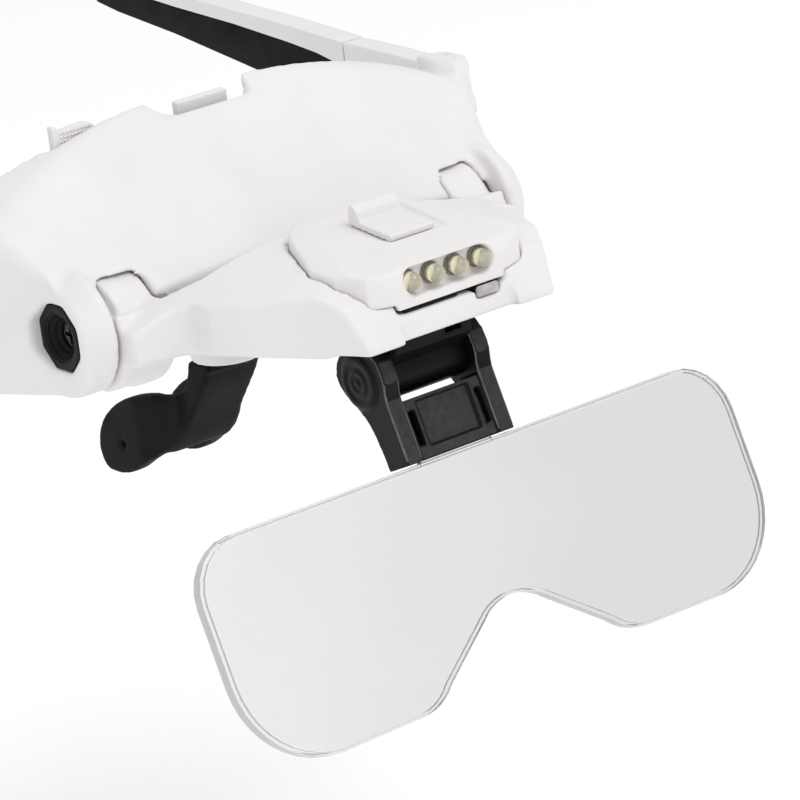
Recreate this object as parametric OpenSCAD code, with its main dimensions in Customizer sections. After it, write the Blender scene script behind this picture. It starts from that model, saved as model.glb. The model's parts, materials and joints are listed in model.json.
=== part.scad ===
// Lighted head magnifier: a visor on eyeglass arms, a tilting front bar with a
// four-diode lamp, and one clear lens plate on a flip-up bracket.
// Sizes are millimetres. X is the wearer's left, Y runs back to the wearer, Z is up.
// Each piece is drawn from the top centre of the lens plate, then moved by place()
// so that the point where the brow pad meets the forehead is at zero.

/* [Lens plate] */
// Width of the clear lens plate
lens_width = 111; // [106:1:116]
// Thickness of the clear lens plate
lens_thickness = 3.2; // [3:0.1:3.8]
// Angle by which the bottom of the lens leans forward
lens_tilt = 22; // [18:1:24]

/* [Lamp] */
// Diameter of one light diode
diode_diameter = 3; // [2.6:0.1:3.2]
// Distance between two light diodes
diode_pitch = 4.8; // [4.4:0.1:5]
// Diameter of a coin cell
cell_diameter = 16; // [15:0.5:16.5]
// Thickness of a coin cell
cell_thickness = 2; // [1.6:0.1:2.1]

/* [Flip hinge] */
// Width of the lens bracket over its two ears
bracket_width = 22; // [20:1:23]
// Diameter of the hinge pin the bracket turns on
hinge_pin_diameter = 2.4; // [2:0.1:3]

/* [Side pivots] */
// Diameter of the bearing neck of a pivot bush
bush_diameter = 9; // [8:0.5:10]
// Height over the corners of the eight-sided bush head
bush_head = 12; // [11.5:0.5:13]

/* [Visor] */
// Wall thickness of the visor shell
shell_wall = 2.2; // [1.8:0.1:2.6]

/* [Arms] */
// Length of one arm behind its clip joint
arm_length = 86; // [80:1:92]
// Thickness of the black lining on the inside of an arm
lining_thickness = 1.6; // [1:0.1:2]

/* [Hidden] */
$fn = 48;
// Radial clearance of a pin that turns and side clearance of a part that slides
run = 0.06;
slide = 0.15;
// Air gap between two moulded parts that move past each other
gap = 0.35;

// Height of the forehead point, which becomes zero
brow_z = 42;
// Axis of the two side pivots
pivot_y = 43.5;
pivot_z = 24.6;
// Turning ends of the front bar: radius, inner end, step, notch end and outer end
turn_r = 10;
turn_x0 = 31.3;
turn_x1 = 35.4;
turn_x2 = 38.9;
turn_x3 = 40.6;
// Their deeper lower side: radius at the outer and at the inner step
turn_low = 11;
turn_low_in = 11.5;
// Ears of the visor: radius at the root and at the face, root, shoulder and face
ear_root_r = 10.2;
ear_face_r = 7.6;
ear_root_x = 41;
ear_shoulder_x = 42.6;
ear_face_x = 46.2;
// Axis of the flip hinge, and the same axis seen in the plane of the lens
flip_y = 10.6;
flip_z = 12.6;
flip_up = flip_y * sin(lens_tilt) + flip_z * cos(lens_tilt);
flip_back = flip_y * cos(lens_tilt) - flip_z * sin(lens_tilt);
// Slope and crown of the visor top
slope = 42;
slope_r = 400;
crown_r = 120;
crown_x = 45;
// Distance from the side pivots back to the crown
crown_back = 18.5;
crown_y = pivot_y + crown_back;
// Depth of the forehead point
brow_y = crown_y + 5;
crown_z = 54;
side_x = 60;
side_r = 24;
side_z = 22.95;
rim_r = 190;
// Axis of the arm hinges
arm_x = 60;
arm_y = rim_at(arm_x) + 2.94;
arm_pin_r = 1.25;
// Release slider: middle, half width of its tab, and half width of the slot it moves in
release_x = 25.6;
release_half = 4.3;
release_slot = 5.4;
// Deck of the lamp: height at y = 0 and its rise to the back
deck_z = 33.6;
deck_rise = 6.8;
// Half width and greatest height of the flat part of the deck
deck_half = 9.6;
deck_top = 36.6;
// Knob of the lamp switch: middle, half width, front, back and front of its thumb ridge
knob_x = 1.9;
knob_half = 4.5;
knob_y0 = 8.9;
knob_y1 = 20.2;
ridge_y = 17.2;
// Height of the diodes and of the board they stand on
diode_z = 31;
board_z = 29.6;
board_t = 1.2;
cell_y = 14.5;
cell_z = 24.3;

white = [0.93, 0.92, 0.91];
black = [0.12, 0.12, 0.13];
clear = [0.86, 0.88, 0.89, 0.45];
steel = [0.7, 0.7, 0.72];

function arc(cx, cy, r, a0, a1, n) =
    [for (i = [0:n]) let (a = a0 + (a1 - a0) * i / n) [cx + r * cos(a), cy + r * sin(a)]];
// An outline with each corner cut off at a quarter of both its sides
function softened(p) = [for (i = [0:len(p) - 1]) let (a = p[i], b = p[(i + 1) % len(p)])
    each [a * 0.75 + b * 0.25, a * 0.25 + b * 0.75]];
function flip_x(p) = [for (i = [len(p) - 1:-1:0]) [-p[i][0], p[i][1]]];

// Depth of the curved rear rim and height of the crown, both at a distance x from the middle
function rim_at(x) = crown_y + rim_r - sqrt(rim_r * rim_r - x * x);
function crown_at(x) = crown_z - crown_r + sqrt(crown_r * crown_r - x * x);

module place() translate([0, -brow_y, -brow_z]) children();
module both() {
    children();
    mirror([1, 0, 0]) children();
}
// A side view drawn as (y, z) and stretched along X from x0 to x1
module side_cut(x0, x1) translate([x0, 0, 0]) rotate([90, 0, 90]) linear_extrude(x1 - x0) children();
// Moves to the lens plane: X right, Y up along the lens, Z out of its front face
module lens_plane() rotate([90 - lens_tilt, 0, 0]) children();
// A rod along X between x0 and x1 about the point (y, z)
module rod(y, z, r, x0, x1) translate([x0, y, z]) rotate([0, 90, 0]) cylinder(h = x1 - x0, r = r);
// Moves to the lamp deck: X right, Y back along the deck, Z up from it
module deck() translate([0, 0, deck_z]) rotate([deck_rise, 0, 0]) children();

// Visor shell.
// Sloping front face under the crowned top with its rounded sides, inset by k
module crown(k) intersection() {
    translate([0, crown_y, crown_z]) rotate([slope, 0, 0]) translate([0, -60, -slope_r]) rotate([-90, 0, 0])
        cylinder(h = 130, r = slope_r - k, $fn = 96);
    translate([0, 95, 0]) rotate([90, 0, 0]) linear_extrude(75) {
        intersection() {
            translate([0, crown_z - crown_r]) circle(r = crown_r - k, $fn = 96);
            translate([-crown_x, -20]) square([2 * crown_x, 100]);
        }
        for (x = [-1, 1]) translate([x * (side_x - side_r), side_z]) circle(r = side_r - k, $fn = 96);
        translate([-side_x + k, -20]) square([2 * (side_x - k), side_z + 20]);
    }
}
// Plan of the visor, inset by k
function plan_half(k) = [[46.4 - k, 30 + k], [46.4 - k, crown_y - 17], [51 - k, crown_y - 8],
    [57.4 - k, crown_y + 4],
    [62.8 - k, crown_y + 8], [62.8 - k, crown_y + 28]];
module visor_plan(k) polygon(concat(plan_half(k), flip_x(plan_half(k))));
module visor_plan_cut(k) translate([0, 0, -10]) linear_extrude(80) visor_plan(k);
// Everything behind the curved rear rim
module rim_cut() translate([0, crown_y + rim_r, -20]) cylinder(h = 100, r = rim_r, $fn = 96);
module visor_middle(k) intersection() {
    crown(k);
    side_cut(-70, 70) polygon([[36.5 + k, 14.2], [36.5 + k, 60], [90, 60], [90, 30], [crown_y + 14, 30],
        [crown_y + 4, 12.9], [crown_y - 4, 13.9], [46, 14.2]]);
    visor_plan_cut(k);
}
// Domed ear round each side pivot
module ear_dome() {
    rod(pivot_y, pivot_z, ear_root_r, ear_root_x, ear_shoulder_x + 0.01);
    translate([ear_shoulder_x, pivot_y, pivot_z]) rotate([0, 90, 0])
        cylinder(h = ear_face_x - ear_shoulder_x, r1 = ear_root_r, r2 = ear_face_r);
}
module visor_body(k) difference() {
    visor_middle(k);
    rim_cut();
}
// Side view of a turning end: a hub of radius hub, and a lobe in front of it and below from angle a on
module turning_end(hub, lobe, a)
    polygon(concat(arc(pivot_y, pivot_z, lobe, a, 305, 24), arc(pivot_y, pivot_z, hub, 305, 360 + a, 32)));
// Side view of the deeper lower side of a turning end, with its outer radius r
module turning_low(r)
    polygon(concat(arc(pivot_y, pivot_z, r, 200, 290, 20), arc(pivot_y, pivot_z, 6, 290, 200, 12)));
module visor_shell() color(white) place() difference() {
    union() {
        difference() {
            visor_body(0);
            difference() {
                visor_body(shell_wall);
                // solid ear around the pivot bush
                both() rod(pivot_y, pivot_z, ear_root_r + 0.3, ear_root_x, 50);
            }
        }
        both() ear_dome();
        both() knuckle_fork();
        both() knuckle_block();
        both() frame_boss();
    }
    // lower front corner of each side, rounded with the ear
    both() side_cut(ear_root_x - 0.1, 50) polygon(concat([[30, pivot_z], [30, 5], [pivot_y, 5]],
        arc(pivot_y, pivot_z, ear_root_r + 0.12, 270, 180, 16)));
    // open underside
    translate([-ear_root_x + 0.05, 30, 5]) cube([2 * ear_root_x - 0.1, crown_y - 37.9, 12.2]);
    translate([-46, crown_y - 8, 5]) cube([92, 40, 12]);
    // room for the turning ends of the front bar
    both() side_cut(turn_x0 - 0.4, turn_x2 + 0.3) turning_end(turn_r - 2 + gap, turn_r + gap, 137);
    both() side_cut(turn_x2, turn_x3 + gap) turning_end(turn_r - 3.8 + gap, turn_r + gap, 137);
    both() side_cut(turn_x0 - 0.4, turn_x3 + gap)
        polygon(concat(arc(pivot_y, pivot_z, turn_low_in + gap, 178, 302, 28),
        arc(pivot_y, pivot_z, 5, 302, 178, 12)));
    // open front edge below the crown
    translate([-31.2, 30, 5]) cube([62.4, 9, 23.4]);
    // recess of the middle tab in the rim
    translate([0, crown_y + 4.6, crown_z]) rotate([90, 0, 0]) linear_extrude(8)
        polygon([[-12.4, 6], [-12.2, -0.3], [-11.4, -1.4], [-10.2, -2.6], [-8.8, -3.3], [-6.8, -3.7],
            [7.9, -3.7], [7.9, 6]]);
    // slot of the release slider
    translate([-release_x - release_slot, crown_y + 0.9, crown_at(release_x) - 7])
        cube([2 * release_slot, 8, 12]);
    // eight-sided seats and bores of the bushes
    both() {
        translate([ear_face_x - 2.2, pivot_y, pivot_z]) rotate([0, 90, 0]) rotate(22.5)
            cylinder(h = 10, d = bush_head + 0.1, $fn = 8);
        rod(pivot_y, pivot_z, bush_diameter / 2 + 0.02, 40, 50);
        arm_pin_hole();
    }
}
module arm_pin_hole() translate([arm_x, arm_y, 30.9]) cylinder(h = 12, r = arm_pin_r);
// Two tines that hold the arm hinge pin
module knuckle_fork() for (z = [31.5, 39.2]) translate([0, 0, z]) {
    translate([arm_x, arm_y, 0]) cylinder(h = 3.3, r = 3.6);
    translate([arm_x - 3.6, arm_y - 6, 0]) cube([6.8, 6, 3.3]);
}
// Rounded rear corner of the visor that the fork grows from
module knuckle_block() intersection() {
    translate([arm_x, arm_y - 3.8, 0]) rotate([90, 0, 0]) linear_extrude(12) polygon([[-8, 31.5],
        [-8, 45], [-4.2, 44.6],
        [-1.9, 43.2], [0.6, 40.8], [2.1, 38.2], [3.2, 33.3], [3.2, 31.5]]);
    translate([arm_x, arm_y, 20]) linear_extrude(40)
        polygon([[-10, -16], [-4.5, -15], [-0.7, -10], [3.2, -5], [3.2, -3], [-10, -3]]);
}
// Screw posts between the visor shell and the inner frame
post_x = 22;
post_y = crown_y - 12.2;
post_z = 30;
module frame_boss() translate([post_x, 0, 0]) difference() {
    intersection() {
        translate([0, post_y - 11.8, post_z]) rotate([-90, 0, 0]) cylinder(h = 11.8, r = 3);
        translate([-post_x, 0, 0]) visor_middle(0.8);
    }
    translate([0, post_y - 6.3, post_z]) rotate([-90, 0, 0]) cylinder(h = 10, r = 0.9);
}
module frame_screws() color(steel) place() both() translate([post_x, post_y, post_z]) {
    translate([0, -5.8, 0]) rotate([-90, 0, 0]) cylinder(h = 9, r = 0.9);
    translate([0, 2.4, 0]) rotate([-90, 0, 0]) difference() {
        cylinder(h = 1.4, r = 2);
        translate([-1.4, -0.3, 0.7]) cube([2.8, 0.6, 1]);
        translate([-0.3, -1.4, 0.7]) cube([0.6, 2.8, 1]);
    }
}

// Inner frame: a plate across the inside of the visor with the two inner pivot lugs.
lug_x0 = 26.4;
lug_x1 = 31;
lug_r = 4.4;
module inner_frame() color(white) place() difference() {
    union() {
        intersection() {
            translate([-60, post_y, 12]) cube([120, 2.4, 40]);
            difference() {
                visor_body(shell_wall + 0.05);
                both() rod(pivot_y, pivot_z, turn_r + 1, lug_x1 - 0.1, 60);
            }
        }
        // lugs that take the inner ends of the pivots
        both() difference() {
            intersection() {
                crown(shell_wall + 0.15);
                union() {
                    rod(pivot_y, pivot_z, lug_r, lug_x0, lug_x1);
                    translate([lug_x0, pivot_y, pivot_z - lug_r])
                        cube([lug_x1 - lug_x0, max(0.1, post_y - pivot_y + 1), 2 * lug_r]);
                }
            }
            rod(pivot_y, pivot_z, 1.3, lug_x0 - 1, lug_x1 + 1);
        }
        // shelf over the nose base
        translate([-10, post_y - 0.8, 12]) cube([20, 20, 2.2]);
        // ledge that carries the brow carrier
        translate([-16, post_y, 38]) cube([32, crown_y - 1.2 - post_y, 2]);
    }
    both() translate([post_x, post_y - 2, post_z]) rotate([-90, 0, 0]) cylinder(h = 8, r = 0.92);
}

// Brow pad on its carrier, and the slider that lets go of it.
module brow_band(r0, r1, x, z0, z1) intersection() {
    translate([0, crown_y + rim_r, z0]) difference() {
        cylinder(h = z1 - z0, r = r1, $fn = 96);
        translate([0, 0, -1]) cylinder(h = z1 - z0 + 2, r = r0, $fn = 96);
    }
    translate([-x, crown_y - 10, z0 - 1]) cube([2 * x, 40, z1 - z0 + 2]);
}
// Ledge under the release slider: its top lies this much below the crown
ledge_down = 4.6;
// Height of the slider's tab
release_top = ledge_down + 1.5;
module brow_carrier() color(white) place() difference() {
    union() {
        brow_band(rim_r - 2.1, rim_r - 0.1, 40, 36, 46.5);
        translate([-5.3, crown_y + 0.2, 40]) cube([10.6, 1.7, crown_z - 42.2]);
        translate([-release_x - 5.6, crown_y - 2.4, crown_at(release_x) - ledge_down - 2]) cube([11.2, 5, 2]);
    }
    translate([-16.1, crown_y - 5, 37.98]) cube([32.2, 3.95, 2.04]);
}
module brow_pad() color(black) place() intersection() {
    difference() {
        translate([0, crown_y + rim_r, 37]) cylinder(h = 9, r = rim_r - 2.1, $fn = 96);
        translate([0, brow_y + 95, 36]) cylinder(h = 12, r = 95, $fn = 96);
    }
    translate([-34, crown_y - 2, 30]) cube([68, 20, 20]);
}
// Slider in the rim of the visor, with its knurled tab standing above the crown
module release_slider() color(white) place()
    translate([-release_x, 0, crown_at(release_x) - ledge_down + 0.03]) {
    translate([-release_half, crown_y - 2.2, 0]) cube([2 * release_half, 4.6, 0.9]);
    // tab with a small horn on its outer end
    translate([0, crown_y + 2.7, 0]) rotate([90, 0, 0]) linear_extrude(1.6) polygon([[-release_half, 0],
        [-release_half, release_top + 0.5], [0.3 - release_half, release_top + 0.7],
        [0.9 - release_half, release_top + 0.5],
        [1.5 - release_half, release_top - 0.3], [release_half - 2.2, release_top],
        [release_half - 0.9, release_top - 0.25],
        [release_half, release_top - 1.2], [release_half, 0]]);
}

// Nose rest: a soft black saddle under a small white base with a round foot.
// Underside of the foot, and the depth of its middle
nose_z = 4.3;
nose_y = crown_y + 3.3;
module nose_base() color(white) place() translate([0, nose_y, 0]) {
    side_cut(-8, 8) polygon([[-13.3, 12], [-13.3, 9.4], [-5.3, 7.4], [4.7, 7], [4.7, 12]]);
    translate([0, 0, nose_z]) cylinder(h = 6, r1 = 6.4, r2 = 7.4);
}
module nose_rest() color(black) place() translate([0, nose_y, 0]) {
    // front block
    side_cut(-6, 6) polygon(softened([[-2.1, nose_z], [-1.1, 2.2], [0.9, -0.8], [3.8, -4.4], [7.5, -9],
        [9.5, -11.8],
        [12, -14.6], [15.2, -15.2], [14.7, -11], [12.7, -6], [9.3, -3.2], [7.1, -2], [4.9, 1.4],
        [4.3, nose_z]]));
    translate([-6, -1.9, 2.6]) cube([12, 6, nose_z - 2.6]);
    // two leaves beside the nose
    both() difference() {
        intersection() {
            side_cut(5.6, 9.2) polygon(softened(softened([[7.1, -2], [9.9, -3.1], [17.4, -3.8],
                [25.4, -6.6], [31.2, -11.4],
                [33, -16.4], [31.4, -20.6], [25.6, -20.6], [21.2, -18.9], [18, -16.8], [13.2, -14.3],
                [10, -11.8], [7.6, -8]])));
            // the outer faces spread apart to the back
            translate([0, 0, -40]) linear_extrude(60)
                polygon([[0, 4.7], [6.6, 4.7], [7.2, 10.7], [9.2, 18.7], [9.2, 34.7], [0, 34.7]]);
        }
        rod(24.3, -14.4, 0.8, 5, 13);
    }
}

// Side pivots: a black bush with an eight-sided head, and the screw down its middle.
module pivot_bush() {
    difference() {
        union() {
            translate([ear_face_x - 2.2, pivot_y, pivot_z]) rotate([0, 90, 0]) rotate(22.5)
                cylinder(h = 2.2, d = bush_head, $fn = 8);
            rod(pivot_y, pivot_z, bush_diameter / 2, lug_x1, ear_face_x - 2.1);
        }
        // stepped funnel down to the screw
        translate([ear_face_x - 2, pivot_y, pivot_z]) rotate([0, 90, 0])
            cylinder(h = 2.6, r1 = 2.7, r2 = 4.8);
        rod(pivot_y, pivot_z, 2.4, ear_face_x - 3.8, ear_face_x - 1.9);
        rod(pivot_y, pivot_z, 1.32, lug_x1 - 1, ear_face_x - 3.7);
    }
}
module pivot_screw() translate([ear_face_x, pivot_y, pivot_z]) {
    rod(0, 0, 1.3, lug_x0 + 0.4 - ear_face_x, -3.7);
    difference() {
        rod(0, 0, 2.3, -3.8, -2.2);
        translate([-3, -1.6, -0.35]) cube([2, 3.2, 0.7]);
        translate([-3, -0.35, -1.6]) cube([2, 0.7, 3.2]);
    }
}
module left_pivot_bush() color(black) place() pivot_bush();
module right_pivot_bush() color(black) place() mirror([1, 0, 0]) pivot_bush();
module left_pivot_screw() color(steel) place() pivot_screw();
module right_pivot_screw() color(steel) place() mirror([1, 0, 0]) pivot_screw();

// Arms: a white stub on the hinge, a white arm clipped on it, and a black lining inside.
stub_z0 = 34.95;
stub_z1 = 39.05;
module arm_hinge_pins() color(steel) place() both() {
    translate([arm_x, arm_y, 31.2]) cylinder(h = 11.1, r = arm_pin_r - 0.01);
    translate([arm_x, arm_y, 30.9]) cylinder(h = 0.6, r = 2);
}
module arm_stub() difference() {
    union() {
        translate([arm_x, arm_y, stub_z0]) cylinder(h = stub_z1 - stub_z0, r = 3.3);
        translate([arm_x - 1, arm_y + 2, stub_z0]) cube([3.6, 8, stub_z1 - stub_z0]);
        side_cut(arm_x - 1, arm_x + 4) translate([arm_y, 0])
            polygon([[6, 34.4], [6, 41], [14, 41.5], [28, 41.8], [28, 35.2], [14, 34.4]]);
        translate([arm_x + 0.6, arm_y + 27, 36.2]) cube([1.8, 9, 4]);
    }
    translate([arm_x, arm_y, 30]) cylinder(h = 14, r = arm_pin_r + run);
}
arm_y0 = arm_y + 28.2;
// Side view of an arm: along it as a part of its length, and up, shrunk by k inside its edge
arm_edge = [[0, 41.8], [0.19, 43.1], [0.47, 44.6], [0.77, 45.9], [0.96, 46.4], [0.99, 45.4], [1, 43.4],
    [0.99, 41.4],
    [0.96, 40.4], [0.88, 39.2], [0.65, 36.9], [0.5, 35], [0.33, 32.7], [0.21, 31.2], [0.12, 31.8],
    [0.05, 34], [0, 35.2]];
module arm_side(k) offset(delta = -k) polygon([for (p = arm_edge) [arm_y0 + p[0] * arm_length, p[1]]]);
// Side view of the lining: it leaves a white band along the top of the arm
lining_edge = [[0.02, 37.4], [0.1, 38.8], [0.2, 39.8], [0.41, 41.4], [0.64, 42.6], [0.9, 44.4],
    [0.975, 44.6], [0.985, 43.2],
    [0.975, 41.6], [0.96, 40.4], [0.88, 39.2], [0.65, 36.9], [0.5, 35], [0.33, 32.7], [0.21, 31.2],
    [0.13, 32], [0.06, 34.4]];
module lining_side() polygon([for (p = lining_edge) [arm_y0 + p[0] * arm_length, p[1]]]);
module arm_body() difference() {
    side_cut(arm_x - 1, arm_x + 4) arm_side(0);
    // clip slot for the stub
    translate([arm_x + 0.5, arm_y0 - 1, 36.1]) cube([2, 10, 4.2]);
    // seat of the black lining
    side_cut(arm_x - 2, arm_x - 1 + lining_thickness) offset(delta = 0.03) lining_side();
}
module arm_lining() side_cut(arm_x - 1, arm_x - 1 + lining_thickness) lining_side();
module left_arm_stub() color(white) place() arm_stub();
module right_arm_stub() color(white) place() mirror([1, 0, 0]) arm_stub();
module left_arm() color(white) place() arm_body();
module right_arm() color(white) place() mirror([1, 0, 0]) arm_body();
module left_arm_lining() color(black) place() arm_lining();
module right_arm_lining() color(black) place() mirror([1, 0, 0]) arm_lining();

// Front bar: carries the lamp on top and the flip hinge below, and turns on the two side pivots.
bay = 0.15;
// Plan of the lamp, grown by k
module lamp_plan(k) polygon([[-11.6 - k, -2.6 - k], [11.6 + k, -2.6 - k], [15.6 + k, -1.2 - k], [18 + k, 4],
    [17.6 + k, 11], [11.8 + k, 24.6 + k], [5, 29.6 + k], [-5, 29.6 + k], [-11.8 - k, 24.6 + k],
    [-17.6 - k, 11],
    [-18 - k, 4], [-15.6 - k, -1.2 - k]]);
// Right half of the plan of the bar, from the middle of its front to the middle of its back, inset by k
function bar_half(k) = [[19 - k, -4.7 + k], [22.2 - k, 2.2], [28.4 - k, 14], [31.2 - k, 21.4],
    [31.2 - k, 26.4],
    [33.2 - k, 28.4], [turn_x3 - k, 29.9 + k], [turn_x3 - k, pivot_y], [turn_x0 + k, pivot_y],
    [turn_x0 + k, 34], [25, 31.4 - k]];
module bar_plan(k) polygon(concat(bar_half(k), flip_x(bar_half(k))));
bar_floor = 26.2;
// Catch of the lamp tray: its two ends, and the bottom of its notch in the front edge of the bar
catch_x0 = 4.6;
catch_x1 = 9.4;
catch_z = 24.7;
roof_r = 100;
roof_z = 34.3;
module front_bar() color(white) place() difference() {
    union() {
        intersection() {
            translate([0, 0, 15]) linear_extrude(30) bar_plan(0);
            side_cut(-50, 50) polygon([[-4.7, 21.9], [-4.7, 23.2], [-1, 29.9], [2.3, 31.5], [7, 32.9],
                [12, 35], [pivot_y, 35],
                [pivot_y, 18], [37, 18.6], [33, 19.8], [26, 20.4], [18, 21.2], [3, 21.2], [1, 21.9]]);
            // roof that falls away to both sides
            translate([0, -10, roof_z - roof_r]) rotate([-90, 0, 0]) cylinder(h = 70, r = roof_r, $fn = 96);
        }
        both() {
            side_cut(turn_x0, turn_x1 + 0.1) turning_end(turn_r - 2.1, turn_r - 0.6, 158);
            side_cut(turn_x1, turn_x2) turning_end(turn_r - 2, turn_r, 158);
            side_cut(turn_x2 - 0.1, turn_x3) turning_end(turn_r - 3.8, turn_r - 0.05, 158);
            side_cut(turn_x1 - 0.1, turn_x3 - 0.2) turning_low(turn_low);
            side_cut(turn_x0 - 0.6, turn_x1) turning_low(turn_low_in);
            side_cut(turn_x0 - 1.6, turn_x0 - 0.5) turning_low(turn_low_in - 0.9);
        }
    }
    // bay of the lamp and the opening under its front edge
    translate([0, 0, 28]) linear_extrude(20) lamp_plan(bay);
    translate([-11, -2.4, bar_floor]) cube([22, 30, 10]);
    translate([-11.6, -6, bar_floor]) cube([23.2, 4, 10]);
    translate([-11.6, -6, 20]) cube([23.2, 2.9, 10]);
    translate([0, cell_y, 22.6]) cylinder(h = 10, r = cell_diameter / 2 + 1.6 + bay);
    translate([catch_x0 - bay, -3.2, catch_z]) cube([catch_x1 - catch_x0 + 2 * bay, 2.3, 3]);
    // running bores on the bush necks
    both() rod(pivot_y, pivot_z, bush_diameter / 2 + run, 30, 50);
    // holes of the hinge screws
    both() translate([13.4, 12, 18]) cylinder(h = 8, r = 0.92);
    // hollow underside, left solid round the hinge block and the cell cup
    difference() {
        translate([0, 0, 15]) linear_extrude(10.6) intersection() {
            bar_plan(2);
            translate([-30, 0]) square([60, 29.4]);
        }
        translate([-17, -6, 14]) cube([34, 24.6, 20]);
        translate([0, cell_y, 14]) cylinder(h = 20, r = cell_diameter / 2 + 3.2);
    }
}

// Lamp: a white housing and a black tray round the board, the diodes, the cells and the switch.
// Lower edge of the lip under the diodes
lip_z = 26.95;
module lamp_shape(k) intersection() {
    translate([0, 0, 28 + k]) linear_extrude(20) lamp_plan(-k);
    side_cut(-20, 20) polygon([[-2.6 + k, 28 + k], [-2.6 + k, 31 - k], [-1.7 + k, 33.4 - k], [3.6, 34.2 - k],
        [22, 36.4 - k], [29.6 - k, 37.2 - k], [29.6 - k, 28 + k]]);
    // front view: a flat deck between two falling sides
    translate([0, 35, 0]) rotate([90, 0, 0]) linear_extrude(40) polygon([[-18.6, 28], [18.6, 28],
        [18.6, 33.1 - k],
        [deck_half, deck_top - k], [-deck_half, deck_top - k], [-18.6, 33.1 - k]]);
}
// Long rounded recess in which the diodes stand
module diode_recess() for (x = [-6.6, 6.6]) translate([x, -5, diode_z]) rotate([-90, 0, 0])
    cylinder(h = 4.6, r = 2.3);
module lamp_housing() color(white) place() difference() {
    union() {
        lamp_shape(0);
        // lip that hangs down in front of the tray
        translate([-10.8, -2.6, lip_z]) cube([21.6, 1.3, 28.2 - lip_z]);
    }
    difference() {
        lamp_shape(1.3);
        // wall around the diodes
        translate([-12, -3, 20]) cube([24, 4.2, 20]);
    }
    difference() {
        translate([0, 0, 27.9]) linear_extrude(1.4) lamp_plan(-1.3);
        // floor of the recess
        translate([-9.5, -3, 27]) cube([19, 4.1, 6]);
    }
    diode_recess();
    translate([-6.6, -5, diode_z - 2.3]) cube([13.2, 4.6, 4.6]);
    for (i = [-1.5:1.5]) translate([i * diode_pitch, -5, diode_z]) rotate([-90, 0, 0])
        cylinder(h = 9, d = diode_diameter + 0.3);
    // pocket of the knob in the deck, and the slot of its stem
    deck() translate([knob_x, 0, -0.4]) linear_extrude(6) polygon([[-knob_half - 0.3, knob_y0 - 0.3],
        [knob_half + 2.4, knob_y0 - 0.3], [knob_half + 3, knob_y1 + 3.6], [-knob_half - 3.8, knob_y1 + 3.6]]);
    deck() translate([knob_x - 1.4, 10.7, -4]) cube([2.8, 5.8, 6]);
}
module lamp_base() color(black) place() difference() {
    union() {
        translate([0, 0, 28]) linear_extrude(1.3) lamp_plan(-1.4);
        translate([0, cell_y, 23]) cylinder(h = 5.4, r = cell_diameter / 2 + 1.4);
        // tongue under the lip of the housing, with a catch at its end
        translate([-9.6, -2.4, bar_floor + 0.05]) cube([11, 9.5, lip_z - bar_floor - 0.1]);
        translate([-9.6, -1.2, bar_floor + 0.05]) cube([19.2, 8.3, lip_z - bar_floor - 0.1]);
        translate([-9.6, 1.3, bar_floor + 0.05]) cube([19.2, 5.8, 2]);
        translate([catch_x0, -2.7, catch_z + 0.15]) cube([catch_x1 - catch_x0, 1.6, lip_z - catch_z - 0.2]);
    }
    translate([0, cell_y, 20]) cylinder(h = 12, r = cell_diameter / 2 + 0.2);
    translate([-9.7, -3, lip_z]) cube([19.4, 4.2, 4]);
}
module lamp_board() color([0.1, 0.35, 0.2]) place() translate([0, 0, board_z - 0.3]) difference() {
    translate([-10.2, 5, 0]) cube([20.4, 19, board_t]);
    for (x = [-8.6, 8.6]) translate([x, 22, -1]) cylinder(h = 4, r = 0.9);
}
module light_diodes() color([0.95, 0.93, 0.8]) place() for (i = [-1.5:1.5])
    translate([i * diode_pitch, 0, diode_z]) {
    translate([0, -3.8 + diode_diameter / 2, 0]) sphere(d = diode_diameter);
    translate([0, -3.8 + diode_diameter / 2, 0]) rotate([-90, 0, 0]) cylinder(h = 3.8, d = diode_diameter);
    for (x = [-0.8, 0.8]) translate([x, 1.4, 0]) rotate([-90, 0, 0]) cylinder(h = 4.4, r = 0.22);
    for (x = [-0.8, 0.8]) translate([x, 5.6, -0.52]) cylinder(h = 0.62, r = 0.22);
}
module coin_cells() color(steel) place() for (i = [0, 1])
    translate([0, cell_y, cell_z + i * (cell_thickness + 0.02)])
    cylinder(h = cell_thickness, d = cell_diameter);
module cell_spring() color(steel) place() translate([0, cell_y, 0]) {
    translate([0, 0, cell_z + 2 * cell_thickness + 0.04]) cylinder(h = 0.3, r = 3);
    translate([0, 0, cell_z + 2 * cell_thickness + 0.3])
        cylinder(h = board_z - 0.3 - cell_z - 2 * cell_thickness - 0.3, r = 1.2);
}
module cell_clip() color(steel) place() translate([0, cell_y, 24.1]) {
    cylinder(h = 0.18, r = 5);
}
module cell_door() color(white) place() difference() {
    translate([0, cell_y, 22.8]) cylinder(h = 1.3, r = cell_diameter / 2 + 0.15);
    translate([-3, cell_y - 0.6, 22]) cube([6, 1.2, 1.4]);
}
module switch_body() color(black) place()
    translate([knob_x - 2.2, 9.2, board_z - 0.3 + board_t]) cube([4.4, 8.6, 2.3]);
// Knob: a flat plate in the pocket, a thumb ridge with a falling front, and a stem down to the switch
module switch_knob() color(white) place() deck() translate([knob_x, 0, 0]) {
    translate([-knob_half, knob_y0, -0.2]) cube([2 * knob_half, knob_y1 - knob_y0, 1.1]);
    side_cut(-knob_half, knob_half) polygon([[ridge_y, 0.5], [ridge_y + 0.7, 2.4], [ridge_y + 1.8, 3.3],
        [knob_y1 - 0.3, 3.3],
        [knob_y1, 2.6], [knob_y1, 0.5]]);
    translate([-1.2, 11, -2.1]) cube([2.4, 2.2, 2]);
}

// Flip hinge, lens bracket and lens plate.
ear_t = 3;
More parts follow.
